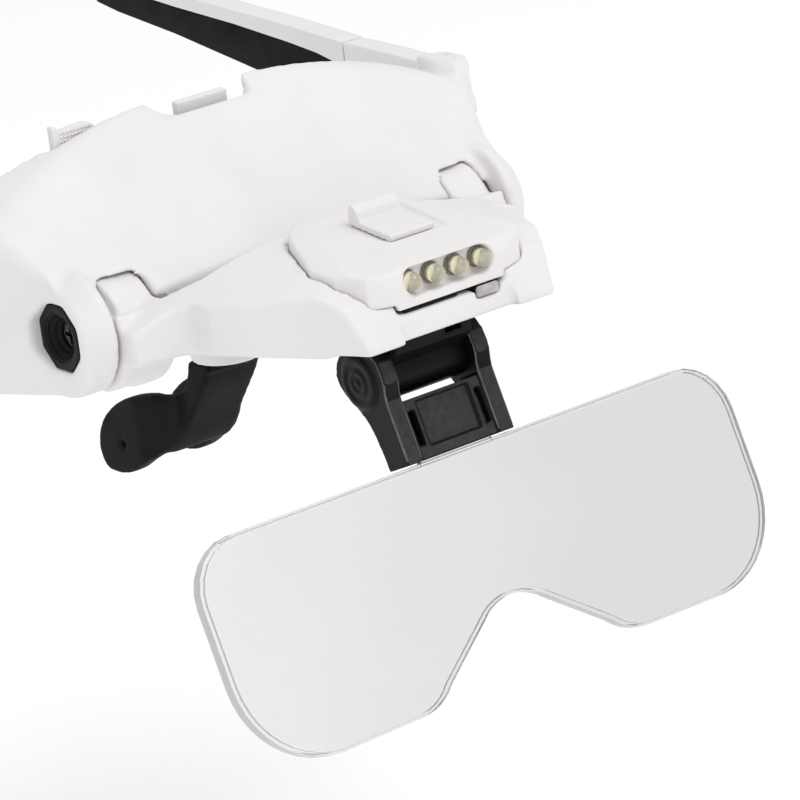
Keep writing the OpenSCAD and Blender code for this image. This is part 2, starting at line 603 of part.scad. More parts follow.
// Round boss on the outside of each ear, and the wall of the ear that covers the end of the hinge pin
boss_r = 4.6;
boss_t = 0.4;
pin_cover = 0.8;
ear_in = bracket_width / 2 - ear_t;
barrel_r = 4.2;
module hinge_block() color(black) place() difference() {
    union() {
        side_cut(-ear_in + slide, ear_in - slide) polygon([[4, 17.5], [4, 21.2], [17.5, 21.2], [17.5, 18.6],
            [flip_y + 3.9, flip_z + 1.2], [flip_y - 3.4, flip_z + 2]]);
        rod(flip_y, flip_z, barrel_r, -ear_in + slide, ear_in - slide);
        translate([-16, 8.3, 19.6]) cube([32, 7.4, 1.6]);
    }
    rod(flip_y, flip_z, hinge_pin_diameter / 2 + 0.01, -20, 20);
    both() translate([13.4, 12, 18]) cylinder(h = 8, r = 1.1);
    // dark hollow that takes the detent spring
    translate([2.4, 8.3, 16.2]) cube([3.4, 4.8, 5.2]);
    translate([2.4, 3.5, 18.4]) cube([3.4, 6, 1.4]);
}
module hinge_screws() color(steel) place() both() translate([13.4, 12, 0]) {
    translate([0, 0, 19.4]) cylinder(h = 6, r = 0.9);
    translate([0, 0, 18.3]) cylinder(h = 1.25, r = 1.9);
}
module hinge_pin() color(steel) place() {
    rod(flip_y, flip_z, hinge_pin_diameter / 2, -bracket_width / 2 + pin_cover + 0.1,
        bracket_width / 2 - pin_cover - 0.1);
}
module detent_spring() color(steel) place() translate([2.6, 8.6, 16.9]) cube([3, 4.2, 0.4]);
// Side view of one ear as (up along the lens, out of its front): leg, rear, top and front
module bracket_side() polygon([[0.3, -5.7], [3.7, -5.9], [7.6, -6.4], [9.9, -7.3], [11.4, -8.1], [12.9, -9.2],
    [14.6, -10.5], [16.2, -11.2], [18.1, -11.2], [20, -9.9], [21.2, -8], [21.7, -5.8], [21.6, -3.4],
    [20.7, -1.2],
    [19.4, 0.5], [17.6, 1.4], [15.4, 1.6], [13.8, 1.3], [12.4, 0.7], [11, 0.3], [0.3, 0.3]]);
module ear(x0) translate([x0, 0, 0]) rotate([90, 0, 90]) linear_extrude(ear_t) bracket_side();
module lens_bracket() color(black) place() lens_plane() difference() {
    union() {
        ear(-bracket_width / 2);
        ear(ear_in);
        translate([-ear_in - 0.5, 0.3, -5.6]) cube([2 * ear_in + 1, 10.2, 5.5]);
        both() translate([bracket_width / 2 - 0.2, flip_up, -flip_back]) rotate([0, 90, 0])
            cylinder(h = boss_t + 0.2, r = boss_r);
    }
    // blind bores of the hinge pin
    translate([pin_cover - bracket_width / 2, flip_up, -flip_back]) rotate([0, 90, 0])
        cylinder(h = bracket_width - 2 * pin_cover, r = hinge_pin_diameter / 2 + run);
    // slot of the lens tongue
    translate([-ear_in + 0.4, -1, -3.15]) cube([2 * ear_in - 0.8, 9.8, 1.7]);
    // recessed front panel and its two slots
    translate([-5.4, 2.2, -0.6]) cube([10.8, 7.6, 1]);
    for (x = [-7.4, 6.2]) translate([x, 2.6, -2]) cube([1.2, 6, 3]);
}
module lens_outline(k) polygon(concat(
    arc(lens_width / 2 - 9.5, -9.5, 9.5 - k, 90, 0, 6),
    arc(lens_width / 2 - 15.8, -22.6, 15.8 - k, 0, -88, 10),
    arc(24, -28.6, 9.6 - k, -90, -138, 6),
    arc(0, -35.2, 10.2 + k, 48, 132, 10),
    flip_x(arc(24, -28.6, 9.6 - k, -90, -138, 6)),
    flip_x(arc(lens_width / 2 - 15.8, -22.6, 15.8 - k, 0, -88, 10)),
    flip_x(arc(lens_width / 2 - 9.5, -9.5, 9.5 - k, 90, 0, 6))));
module lens_plate() color(clear) place() lens_plane() {
    translate([0, 0, -lens_thickness + 0.5]) linear_extrude(lens_thickness - 1) lens_outline(0);
    translate([0, 0, -0.5]) linear_extrude(0.5) lens_outline(0.6);
    translate([0, 0, -lens_thickness]) linear_extrude(0.5) lens_outline(0.6);
    // tongue that slides up into the bracket
    translate([-ear_in + 0.6, -1, -3]) cube([2 * ear_in - 1.2, 9.6, 1.4]);
}

visor_shell();
inner_frame();
brow_carrier();
brow_pad();
release_slider();
nose_base();
nose_rest();
frame_screws();
left_pivot_bush();
right_pivot_bush();
left_pivot_screw();
right_pivot_screw();
arm_hinge_pins();
left_arm_stub();
left_arm();
left_arm_lining();
right_arm_stub();
right_arm();
right_arm_lining();
front_bar();
lamp_housing();
lamp_base();
lamp_board();
light_diodes();
coin_cells();
cell_spring();
cell_clip();
cell_door();
switch_body();
switch_knob();
hinge_block();
hinge_screws();
hinge_pin();
detent_spring();
lens_bracket();
lens_plate();
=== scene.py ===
import json
import math

import bmesh
import bpy
from mathutils import Matrix, Vector


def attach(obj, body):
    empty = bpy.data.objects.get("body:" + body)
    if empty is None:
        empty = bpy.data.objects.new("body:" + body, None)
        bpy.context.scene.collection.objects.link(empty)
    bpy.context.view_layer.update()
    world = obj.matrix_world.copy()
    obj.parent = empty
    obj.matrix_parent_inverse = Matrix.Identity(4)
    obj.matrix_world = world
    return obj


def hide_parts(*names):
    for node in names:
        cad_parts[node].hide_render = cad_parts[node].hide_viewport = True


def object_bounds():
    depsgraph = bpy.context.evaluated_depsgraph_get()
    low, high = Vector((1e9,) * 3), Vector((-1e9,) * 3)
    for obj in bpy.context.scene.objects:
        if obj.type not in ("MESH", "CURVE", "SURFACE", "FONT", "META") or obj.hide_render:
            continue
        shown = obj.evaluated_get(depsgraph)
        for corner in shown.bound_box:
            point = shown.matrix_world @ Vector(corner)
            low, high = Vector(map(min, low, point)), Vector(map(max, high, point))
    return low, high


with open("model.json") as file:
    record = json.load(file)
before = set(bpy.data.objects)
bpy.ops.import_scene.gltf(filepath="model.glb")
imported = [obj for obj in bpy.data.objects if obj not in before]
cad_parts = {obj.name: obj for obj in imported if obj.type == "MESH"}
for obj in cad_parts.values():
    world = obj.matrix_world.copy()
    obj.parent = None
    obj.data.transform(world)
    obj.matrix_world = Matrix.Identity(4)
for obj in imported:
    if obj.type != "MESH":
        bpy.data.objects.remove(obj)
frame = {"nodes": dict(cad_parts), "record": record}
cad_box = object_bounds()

nodes = frame["nodes"]

# Camera.
# The photograph is taken with a long lens from the wearer's right hand side,
# 35 degrees off the front and 18 degrees above the lamp.
camera = bpy.data.objects.new("camera", bpy.data.cameras.new("camera"))
bpy.context.scene.collection.objects.link(camera)
camera_right = Vector((0.78583, -0.60662, -0.12039))
camera_up = Vector((0.28299, 0.17962, 0.94215))
camera_back = Vector((-0.54990, -0.77444, 0.31281))
camera_place = Vector((-0.38185, -0.58920, 0.18063))
camera_turn = Matrix((camera_right, camera_up, camera_back)).transposed().to_4x4()
camera.matrix_world = Matrix.Translation(camera_place) @ camera_turn
camera.data.sensor_width = 36
camera.data.lens = 189
camera.data.clip_start = 0.05
camera.data.clip_end = 50
bpy.context.scene.camera = camera


class Socket:
    """One output socket of a shader tree, with arithmetic that adds Math nodes."""

    def __init__(self, tree, socket):
        self.tree, self.socket = tree, socket

    def _math(self, operation, a, b):
        node = self.tree.nodes.new("ShaderNodeMath")
        node.operation = operation
        for i, value in enumerate((a, b)):
            if isinstance(value, Socket):
                self.tree.links.new(value.socket, node.inputs[i])
            else:
                node.inputs[i].default_value = value
        return Socket(self.tree, node.outputs[0])

    def __add__(self, other):
        return self._math("ADD", self, other)

    def __radd__(self, other):
        return self._math("ADD", other, self)

    def __sub__(self, other):
        return self._math("SUBTRACT", self, other)

    def __rsub__(self, other):
        return self._math("SUBTRACT", other, self)

    def __mul__(self, other):
        return self._math("MULTIPLY", self, other)

    def __rmul__(self, other):
        return self._math("MULTIPLY", other, self)


class Finish:
    """A material with one Principled shader; node() adds any other node."""

    def __init__(self, name, **constants):
        self.material = bpy.data.materials.new(name)
        self.material.use_nodes = True
        self.tree = self.material.node_tree
        self.shader = next(n for n in self.tree.nodes if n.type == "BSDF_PRINCIPLED")
        self.place = Socket(self.tree, self.node("ShaderNodeTexCoord").outputs["Object"])
        for key, value in constants.items():
            self.shader.inputs[key.replace("_", " ")].default_value = value

    def node(self, kind, settings=None, **values):
        made = self.tree.nodes.new(kind)
        for key, value in (settings or {}).items():
            if key == "stops":
                while len(made.color_ramp.elements) < len(value):
                    made.color_ramp.elements.new(1.0)
                for element, (place, colour) in zip(made.color_ramp.elements, value):
                    element.position, element.color = place, colour
            else:
                setattr(made, key, value)
        for key, value in values.items():
            socket = next(s for s in made.inputs if s.name == key.replace("_", " ") and s.enabled)
            if isinstance(value, Socket):
                self.tree.links.new(value.socket, socket)
            else:
                socket.default_value = value
        return made

    def noise(self, scale, detail=2.0):
        made = self.node("ShaderNodeTexNoise", Vector=self.place, Scale=scale, Detail=detail)
        return Socket(self.tree, made.outputs["Fac"])

    def feed(self, name, value):
        self.tree.links.new(value.socket, self.shader.inputs[name])

    def tint(self, scale, dark, light):
        """Base colour that drifts between two near shades, as moulded or cut stock does."""
        stops = [(0.3, (*dark, 1)), (0.7, (*light, 1))]
        ramp = self.node("ShaderNodeValToRGB", {"stops": stops}, Fac=self.noise(scale, 3))
        self.feed("Base Color", Socket(self.tree, ramp.outputs["Color"]))

    def bump(self, height, strength, distance):
        made = self.node("ShaderNodeBump", Height=height, Strength=strength, Distance=distance)
        self.feed("Normal", Socket(self.tree, made.outputs["Normal"]))


# the forehead point, in millimetres behind and above the top middle of the lens
forehead_y, forehead_z = 67, 42


def point(x, y, z):
    """A place in millimetres from the top middle of the lens, in metres from the forehead point."""
    return Vector((x, y - forehead_y, z - forehead_z)) / 1000


def metres(profile):
    """A profile in millimetres, in metres."""
    return [(radius / 1000, along / 1000) for radius, along in profile]


def dressed(piece, body, slot, finish, *sources):
    """Turns the live modifiers into one plain mesh, and hands the piece to its body."""
    depsgraph = bpy.context.evaluated_depsgraph_get()
    mesh = bpy.data.meshes.new_from_object(piece.evaluated_get(depsgraph))
    piece.modifiers.clear()
    piece.data = mesh
    mesh.materials.clear()
    mesh.materials.append(finish.material)
    mesh.polygons.foreach_set("material_index", [0] * len(mesh.polygons))
    mesh.polygons.foreach_set("use_smooth", [True] * len(mesh.polygons))
    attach(piece, body)
    if sources:
        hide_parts(*sources)
    return piece


def copied(name, source):
    """A copy of a CAD node whose loose triangles are merged into one skin."""
    mesh = nodes[source].data.copy()
    piece = bpy.data.objects.new(name, mesh)
    bpy.context.scene.collection.objects.link(piece)
    skin = bmesh.new()
    skin.from_mesh(mesh)
    bmesh.ops.remove_doubles(skin, verts=skin.verts, dist=1e-6)
    skin.to_mesh(mesh)
    skin.free()
    return piece


def moulded(name, body, slot, finish, source, grain=0.0005, rounding=4, melt=None):
    """A moulded piece: the solid's form with every edge softened as an injection mould leaves it.
    melt gives, for a place in millimetres, how far the form flows there beyond that."""
    piece = copied(name, source)
    remesh = piece.modifiers.new("skin", "REMESH")
    remesh.mode, remesh.voxel_size, remesh.use_smooth_shade = "VOXEL", grain, True
    if melt:
        depsgraph = bpy.context.evaluated_depsgraph_get()
        piece.data = bpy.data.meshes.new_from_object(piece.evaluated_get(depsgraph))
        piece.modifiers.clear()
        group = piece.vertex_groups.new(name="melt")
        for vertex in piece.data.vertices:
            x, y, z = vertex.co * 1000
            amount = melt(x, y + forehead_y, z + forehead_z)
            if amount > 0:
                group.add([vertex.index], amount, "REPLACE")
        flow = piece.modifiers.new("flow", "SMOOTH")
        flow.factor, flow.iterations, flow.vertex_group = 0.5, 90, "melt"
    soften = piece.modifiers.new("soften", "SMOOTH")
    soften.factor, soften.iterations = 0.5, rounding
    return dressed(piece, body, slot, finish, source)


def edged(name, body, slot, finish, source, width=0.0002, segments=3):
    """A crisp piece: the solid's own faces with a small round worked along each sharp edge."""
    piece = copied(name, source)
    skin = bmesh.new()
    skin.from_mesh(piece.data)
    bmesh.ops.dissolve_limit(skin, angle_limit=math.radians(1), verts=skin.verts, edges=skin.edges)
    skin.to_mesh(piece.data)
    skin.free()
    bevel = piece.modifiers.new("edge", "BEVEL")
    bevel.width, bevel.segments = width, segments
    bevel.limit_method, bevel.angle_limit = "ANGLE", math.radians(35)
    dressed(piece, body, slot, finish, source)
    piece.data.set_sharp_from_angle(angle=math.radians(32))
    return piece


def faced(piece, finish, chosen):
    """Gives a second finish to the faces whose centre and normal pass the test."""
    piece.data.materials.append(finish.material)
    for face in piece.data.polygons:
        if chosen(face.center, face.normal):
            face.material_index = 1


# Visor: one thin shell of white plastic, injection moulded with a satin skin. The two round ears
# carry the side pivots, and the rear rim curves with the forehead.
white = Finish("white moulded plastic", IOR=1.46)
white.tint(60, (0.745, 0.735, 0.728), (0.785, 0.776, 0.770))
white.feed("Roughness", white.noise(900, 2) * 0.10 + 0.40)
white.bump(white.noise(2600, 3), 0.08, 0.0002)


def ramp(value, start, length):
    """Rises from 0 at the start to 1 after the length."""
    return min(1.0, max(0.0, (value - start) / length))


def crease(x, y, z):
    """The fold between the sloping front and the crowned top flows together, more so to the sides."""
    crown_y, rim_diameter = 62, 380
    before_rim = crown_y + x * x / rim_diameter - y
    return ramp(before_rim, 2, 3) * ramp(z, 35, 3) * ramp(abs(x), 6, 14)


moulded("visor", "head_frame", "white_plastic", white, "visor_shell", 0.0006, 6, crease)

# Inner frame: a white plate screwed across the inside of the visor. Its lugs hold the inner ends
# of the pivots, and its ledges carry the brow pad and the nose rest.
moulded("inner_frame_plate", "head_frame", "white_plastic", white, "inner_frame", 0.0005, 3)


def turned(name, profile, steps, place=Vector((0, 0, 0)), axis=(0, -1, 0)):
    """A lathe-turned mesh: profile holds (radius, distance along axis) from end to end."""
    mesh = bpy.data.meshes.new(name)
    shape = bmesh.new()
    rings = []
    for radius, along in profile:
        if radius < 1e-9:
            rings.append([shape.verts.new((0, 0, along))])
        else:
            turn = [2 * math.pi * i / steps for i in range(steps)]
            rings.append([shape.verts.new((radius * math.cos(a), radius * math.sin(a), along))
                for a in turn])
    for low, high in zip(rings, rings[1:]):
        for i in range(steps):
            j = (i + 1) % steps
            corners = [low[i % len(low)], low[j % len(low)], high[j % len(high)], high[i % len(high)]]
            distinct = []
            for corner in corners:
                if corner not in distinct:
                    distinct.append(corner)
            if len(distinct) > 2:
                shape.faces.new(distinct)
    bmesh.ops.recalc_face_normals(shape, faces=shape.faces)
    aim = Vector(axis).to_track_quat("Z", "Y").to_matrix().to_4x4()
    shape.transform(Matrix.Translation(place) @ aim)
    shape.to_mesh(mesh)
    shape.free()
    piece = bpy.data.objects.new(name, mesh)
    bpy.context.scene.collection.objects.link(piece)
    return piece


def repeated(name, unit, finish, start, columns, step, rows=1, rise=(0, 0, 0)):
    """Copies of one small mesh in columns and rows, laid out by a Geometry Nodes tree."""
    tree = bpy.data.node_groups.new(name, "GeometryNodeTree")
    tree.interface.new_socket("Geometry", in_out="OUTPUT", socket_type="NodeSocketGeometry")
    sockets = {}
    for label, kind, value in (("Unit", "NodeSocketObject", unit), ("Start", "NodeSocketVector", start),
            ("Columns", "NodeSocketInt", columns), ("Step", "NodeSocketVector", step),
            ("Rows", "NodeSocketInt", rows), ("Rise", "NodeSocketVector", rise)):
        socket = tree.interface.new_socket(label, in_out="INPUT", socket_type=kind)
        sockets[socket.identifier] = value
    made = {key: tree.nodes.new(kind) for key, kind in (
        ("in", "NodeGroupInput"), ("out", "NodeGroupOutput"),
        ("line", "GeometryNodeMeshLine"), ("column", "GeometryNodeMeshLine"),
        ("grid", "GeometryNodeInstanceOnPoints"),
        ("flat", "GeometryNodeRealizeInstances"), ("object", "GeometryNodeObjectInfo"),
        ("copies", "GeometryNodeInstanceOnPoints"), ("real", "GeometryNodeRealizeInstances"),
        ("finish", "GeometryNodeSetMaterial"))}
    made["finish"].inputs["Material"].default_value = finish.material
    for a, out, b, into in (("in", "Columns", "line", "Count"), ("in", "Start", "line", "Start Location"),
            ("in", "Step", "line", "Offset"),
            ("in", "Rows", "column", "Count"), ("in", "Rise", "column", "Offset"),
            ("line", "Mesh", "grid", "Points"), ("column", "Mesh", "grid", "Instance"),
            ("grid", "Instances", "flat", "Geometry"), ("in", "Unit", "object", "Object"),
            ("flat", "Geometry", "copies", "Points"), ("object", "Geometry", "copies", "Instance"),
            ("copies", "Instances", "real", "Geometry"), ("real", "Geometry", "finish", "Geometry"),
            ("finish", "Geometry", "out", "Geometry")):
        tree.links.new(made[a].outputs[out], made[b].inputs[into])
    piece = bpy.data.objects.new(name, bpy.data.meshes.new(name))
    bpy.context.scene.collection.objects.link(piece)
    layout = piece.modifiers.new("layout", "NODES")
    layout.node_group = tree
    for identifier, value in sockets.items():
        layout[identifier] = value
    depsgraph = bpy.context.evaluated_depsgraph_get()
    piece.data = bpy.data.meshes.new_from_object(piece.evaluated_get(depsgraph))
    piece.modifiers.clear()
    bpy.data.objects.remove(unit)
    return piece


# Screws of the inner frame: two small pan heads with a cross recess, plated steel.
metal = Finish("plated steel", Metallic=1.0)
metal.tint(300, (0.52, 0.52, 0.53), (0.64, 0.64, 0.65))
metal.feed("Roughness", metal.noise(800, 2) * 0.2 + 0.22)
edged("frame_screw_pair", "head_frame", "steel", metal, "frame_screws", 0.00015, 2)

# Brow pad: a strip of soft black foam with a knitted skin, glued to a curved white carrier.
moulded("pad_carrier", "head_frame", "white_plastic", white, "brow_carrier", 0.0004, 6)
foam = Finish("knitted foam skin", Sheen_Weight=0.25)
foam.tint(200, (0.020, 0.020, 0.022), (0.038, 0.038, 0.041))
foam.feed("Roughness", foam.noise(1500, 2) * 0.10 + 0.85)
knit = foam.node("ShaderNodeTexVoronoi", Vector=foam.place, Scale=1400.0)
foam.bump(Socket(foam.tree, knit.outputs["Distance"]), 0.5, 0.0002)
pad = moulded("forehead_pad", "head_frame", "foam", foam, "brow_pad", 0.0007, 12)

# Release slider: a small white tab in the rim with a criss-cross grip cut into its front.
moulded("release_tab", "brow_release", "white_plastic", white, "release_slider", 0.0002, 2)
tooth = turned("tooth", [(0.00042, -0.0001), (0.00042, 0), (0.0, 0.00034)], 4)
pitch = 0.00073
grip = repeated("release_grip", tooth, white, point(-28.2, 63.05, 50.6), 9, (pitch, 0, 0), 3, (0, 0, pitch))
dressed(grip, "brow_release", "white_plastic", white)

# Nose rest: a saddle of soft black rubber with two leaves, on a small white base.
moulded("nose_rest_base", "head_frame", "white_plastic", white, "nose_base", 0.0004, 3)
rubber = Finish("soft black rubber", Specular_IOR_Level=0.08)
rubber.tint(120, (0.0045, 0.0048, 0.0058), (0.0110, 0.0115, 0.0130))
rubber.feed("Roughness", rubber.noise(900, 2) * 0.12 + 0.56)
rubber.bump(rubber.noise(1800, 3), 0.15, 0.0002)
moulded("nose_saddle", "head_frame", "soft_black", rubber, "nose_rest", 0.0004, 26)

# Side pivots: a black turned bush with an eight-sided head, a funnel down its middle and a
# cross-head screw at the bottom of the funnel.
black = Finish("black moulded plastic", Specular_IOR_Level=0.12)
black.tint(90, (0.0030, 0.0032, 0.0038), (0.0070, 0.0075, 0.0085))
black.feed("Roughness", black.noise(700, 2) * 0.14 + 0.33)
black.bump(black.noise(2400, 3), 0.12, 0.0002)
blackened = Finish("blackened steel", Metallic=1.0)
blackened.tint(300, (0.030, 0.030, 0.033), (0.085, 0.085, 0.090))
blackened.feed("Roughness", blackened.noise(900, 2) * 0.15 + 0.20)
for side, sign in (("left", 1), ("right", -1)):
    edged(side + "_bush", "head_frame", "black_plastic", black, side + "_pivot_bush", 0.00025)
    edged(side + "_screw", "head_frame", "steel", blackened, side + "_pivot_screw", 0.00015, 2)
    for depth, radius in ((0.5, 3.95), (1.4, 3.22)):
        profile = [(radius + 0.3, -0.16), (radius + 0.3, 0.16), (radius - 0.02, 0.2), (radius - 0.2, 0),
            (radius - 0.06, -0.2), (radius + 0.3, -0.16)]
        ring = turned(side + "_funnel_ring_%d" % (depth * 10), metres(profile), 48,
            point(sign * (46.2 - depth), 43.5, 24.6), (sign, 0, 0))
        dressed(ring, "head_frame", "black_plastic", black)

# Arms: a steel pin in the fork of the visor, a white stub on it, the white arm clipped on the
# stub, and a soft black lining set into the inside of the arm.
edged("arm_pins", "head_frame", "steel", metal, "arm_hinge_pins", 0.0002)
for side in ("left", "right"):
    moulded(side + "_stub", side + "_temple", "white_plastic", white, side + "_arm_stub", 0.00035, 3)
    edged(side + "_arm_shell", side + "_temple", "white_plastic", white, side + "_arm", 0.0006, 3)
    edged(side + "_lining", side + "_temple", "soft_black", rubber, side + "_arm_lining", 0.0003, 2)

# Front bar: one white moulding whose ends turn on the side pivots. Its two cheeks stand beside
# the lamp, and the flip hinge hangs below.
moulded("bar", "lamp_bar", "white_plastic", white, "front_bar", 0.0004, 15)

# Lamp: a white housing set into the bar, with a long rounded recess for four diodes.
moulded("lamp", "lamp_bar", "white_plastic", white, "lamp_housing", 0.0003, 9)
moulded("lamp_tray", "lamp_bar", "black_plastic", black, "lamp_base", 0.0004, 2)
moulded("cell_cover", "lamp_bar", "white_plastic", white, "cell_door", 0.0003, 2)

# Catch of the lamp tray: a smooth grey tongue with round corners in a notch of the bar's front edge.
grey = Finish("polished grey plastic", Coat_Weight=0.4, Coat_Roughness=0.1)
grey.tint(500, (0.30, 0.285, 0.285), (0.52, 0.50, 0.495))
grey.feed("Roughness", grey.noise(600, 2) * 0.15 + 0.15)


def pill(name, low, high, corner):
    """A small block between two corners in millimetres, all its edges well rounded."""
    shape = bmesh.new()
    bmesh.ops.create_cube(shape, size=1)
    for vertex in shape.verts:
        vertex.co = [low[i] if vertex.co[i] < 0 else high[i] for i in range(3)]
    bmesh.ops.bevel(shape, geom=shape.edges[:], offset=corner, segments=5, profile=0.5, affect="EDGES")
    for vertex in shape.verts:
        vertex.co = point(*vertex.co)
    mesh = bpy.data.meshes.new(name)
    shape.to_mesh(mesh)
    shape.free()
    piece = bpy.data.objects.new(name, mesh)
    bpy.context.scene.collection.objects.link(piece)
    return piece


dressed(pill("tray_catch", (4.7, -3.0, 24.85), (9.3, -1.6, 26.8), 0.55), "lamp_bar", "black_plastic", grey)

# Light diodes: clear resin bodies of 3 mm with a domed front and a flange. Inside each stands a
# nickel cup with a pale phosphor dot, and two steel leads run back to the board. The cup and the
# dot glow faintly: painted light that brightens the diodes.
resin = Finish("clear diode resin", Roughness=0.02, IOR=1.53, Transmission_Weight=1.0)
resin.tint(400, (0.93, 0.92, 0.84), (0.97, 0.96, 0.90))
first = point(-7.2, 1.5, 31)
apart = (0.0048, 0, 0)
body = turned("diode_body", metres([(0.0, 5.3), (0.45, 5.23), (0.86, 5.03), (1.17, 4.73), (1.39, 4.34),
    (1.49, 3.9), (1.5, 3.5), (1.5, 0.6), (1.62, 0.55), (1.62, 0.0), (0.0, 0.0)]), 32)
dressed(repeated("diodes", body, resin, first, 4, apart), "lamp_bar", "diode_resin", resin, "light_diodes")
# the phosphor glows faintly: a painted glow that brightens the diode
phosphor_with_painted_glow = Finish("pale yellow phosphor with painted glow", Roughness=0.5, Emission_Strength=0.30)
phosphor_with_painted_glow.tint(900, (0.84, 0.84, 0.50), (0.93, 0.93, 0.66))
phosphor_with_painted_glow.shader.inputs["Emission Color"].default_value = (0.93, 0.93, 0.66, 1)
# the cup glows faintly: a painted glow that brightens the diode
reflector_with_painted_glow = Finish("nickel reflector cup with painted glow", Metallic=0.75, Emission_Strength=0.10)
reflector_with_painted_glow.tint(1500, (0.50, 0.46, 0.40), (0.80, 0.76, 0.69))
reflector_with_painted_glow.feed("Roughness", reflector_with_painted_glow.noise(1200, 2) * 0.2 + 0.20)
reflector_with_painted_glow.shader.inputs["Emission Color"].default_value = (0.80, 0.74, 0.62, 1)
cup = turned("diode_cup",
    metres([(0.0, 2.2), (0.85, 2.3), (1.30, 3.1), (1.36, 3.05), (1.22, 1.5), (0.0, 1.5)]), 24)
dressed(repeated("reflector_cups", cup, reflector_with_painted_glow, first, 4, apart), "lamp_bar", "steel", reflector_with_painted_glow)
chip = turned("chip", [(0.0, 0.0027), (0.0008, 0.00262), (0.00104, 0.0024), (0.0, 0.0022)], 24)
dots = repeated("phosphor_dots", chip, phosphor_with_painted_glow, first + Vector((-0.0001, 0, 0)), 4, apart)
dressed(dots, "lamp_bar", "diode_resin", phosphor_with_painted_glow)
# each diode sits in a dark ring at the floor of the recess: painted shade of the gap around its bore
# a dark brown ring that stands for the shade in the bore gap
bore_gap_shade = Finish("painted shade of the bore gap", Specular_IOR_Level=0.4)
bore_gap_shade.tint(1200, (0.16, 0.13, 0.10), (0.34, 0.29, 0.23))
bore_gap_shade.feed("Roughness", bore_gap_shade.noise(900, 2) * 0.2 + 0.3)
collar = turned("collar",
    metres([(1.52, 1.7), (1.52, 2.15), (1.68, 2.15), (1.78, 1.95), (1.78, 1.7), (1.52, 1.7)]), 32)
dressed(repeated("diode_collars", collar, bore_gap_shade, first, 4, apart), "lamp_bar", "diode_resin", bore_gap_shade)
for name, aside in (("diode_leads", -0.0008), ("diode_leads_second", 0.0008)):
    lead = turned("lead", [(0.0, -0.0052), (0.00024, -0.0052), (0.00024, 0.0015), (0.0, 0.0015)], 12)
    leads = repeated(name, lead, metal, first + Vector((aside, 0, 0)), 4, apart)
    dressed(leads, "lamp_bar", "steel", metal)

# Board, cells and switch: a green lacquered board, two nickel cells between a spring and a clip,
# and a slide switch whose white knob comes up through the deck of the lamp.
lacquer = Finish("green lacquered board", Roughness=0.35)
lacquer.tint(500, (0.015, 0.085, 0.040), (0.022, 0.120, 0.055))
edged("board", "lamp_bar", "circuit_board", lacquer, "lamp_board", 0.0001, 2)
nickel = Finish("nickel steel case", Metallic=1.0)
nickel.tint(250, (0.60, 0.60, 0.60), (0.72, 0.72, 0.71))
nickel.feed("Roughness", nickel.noise(1200, 2) * 0.12 + 0.18)
edged("cells", "lamp_bar", "cell_case", nickel, "coin_cells", 0.0003)
edged("spring_contact", "lamp_bar", "steel", metal, "cell_spring", 0.0001, 2)
edged("clip_contact", "lamp_bar", "steel", metal, "cell_clip", 0.00005, 2)
edged("switch_case", "lamp_bar", "black_plastic", black, "switch_body", 0.0002)
moulded("knob", "lamp_switch", "white_plastic", white, "switch_knob", 0.0002, 3)

# Flip hinge: a black block screwed under the bar, and the bracket that turns on it with friction
# from a small detent spring.
edged("block", "lamp_bar", "black_plastic", black, "hinge_block", 0.00035)
edged("block_screws", "lamp_bar", "steel", metal, "hinge_screws", 0.0002)
edged("hinge_rod", "lamp_bar", "steel", metal, "hinge_pin", 0.0002)
edged("spring_strip", "lamp_bar", "steel", metal, "detent_spring", 0.00008, 2)
bracket = moulded("bracket", "lens_holder", "black_plastic", black, "lens_bracket", 0.00022, 3)
# the lighter black of the bracket's front panel is painted light where the panel faces the lamp, over a
# real spark texture
lit_spark_black = Finish("spark-textured black face with painted light", Specular_IOR_Level=0.25)
lit_spark_black.tint(700, (0.019, 0.020, 0.022), (0.034, 0.035, 0.038))
lit_spark_black.feed("Roughness", lit_spark_black.noise(1600, 2) * 0.2 + 0.40)
lit_spark_black.bump(lit_spark_black.noise(3200, 2), 0.25, 0.00015)
# the lens leans 22 degrees: the way up along it, and the way out of its front
lens_up, lens_front = Vector((0, 0.374607, 0.927184)), Vector((0, -0.927184, 0.374607))
# the front-facing faces of the lower bracket take the lighter black: painted light
faced(bracket, lit_spark_black, lambda centre, normal: normal.dot(lens_front) > 0.97 and centre.z < -0.025)
boss_profile = metres([(0.0, 0.72), (0.45, 0.7), (0.7, 0.46), (1.25, 0.46), (1.45, 0.62), (2.15, 0.62),
    (2.35, 0.44), (3.1, 0.44), (3.3, 0.60), (4.1, 0.56), (4.5, 0.38), (4.62, 0.05), (4.62, -0.2),
    (0.0, -0.2)])
for sign in (-1, 1):
    boss = turned("hinge_boss_%s" % ("left" if sign > 0 else "right"), boss_profile, 48,
        point(sign * 11, 10.6, 12.6), (sign, 0, 0))
    dressed(boss, "lens_holder", "black_plastic", black)



def bead(name, path, radius):
    """A thin round bead along a path of places in the lens plane: across, up and out of its front."""
    curve = bpy.data.curves.new(name, "CURVE")
    curve.dimensions, curve.use_fill_caps = "3D", True
    curve.bevel_depth, curve.bevel_resolution = radius / 1000, 3
    line = curve.splines.new("POLY")
    line.points.add(len(path) - 1)
    for place, (x, up, out) in zip(line.points, path):
        _, y, z = up * lens_up + out * lens_front
        place.co = (*point(x, y, z), 1)
    drawn = bpy.data.objects.new(name, curve)
    bpy.context.scene.collection.objects.link(drawn)
    depsgraph = bpy.context.evaluated_depsgraph_get()
    mesh = bpy.data.meshes.new_from_object(drawn.evaluated_get(depsgraph))
    bpy.data.objects.remove(drawn)
    piece = bpy.data.objects.new(name, mesh)
    bpy.context.scene.collection.objects.link(piece)
    return piece


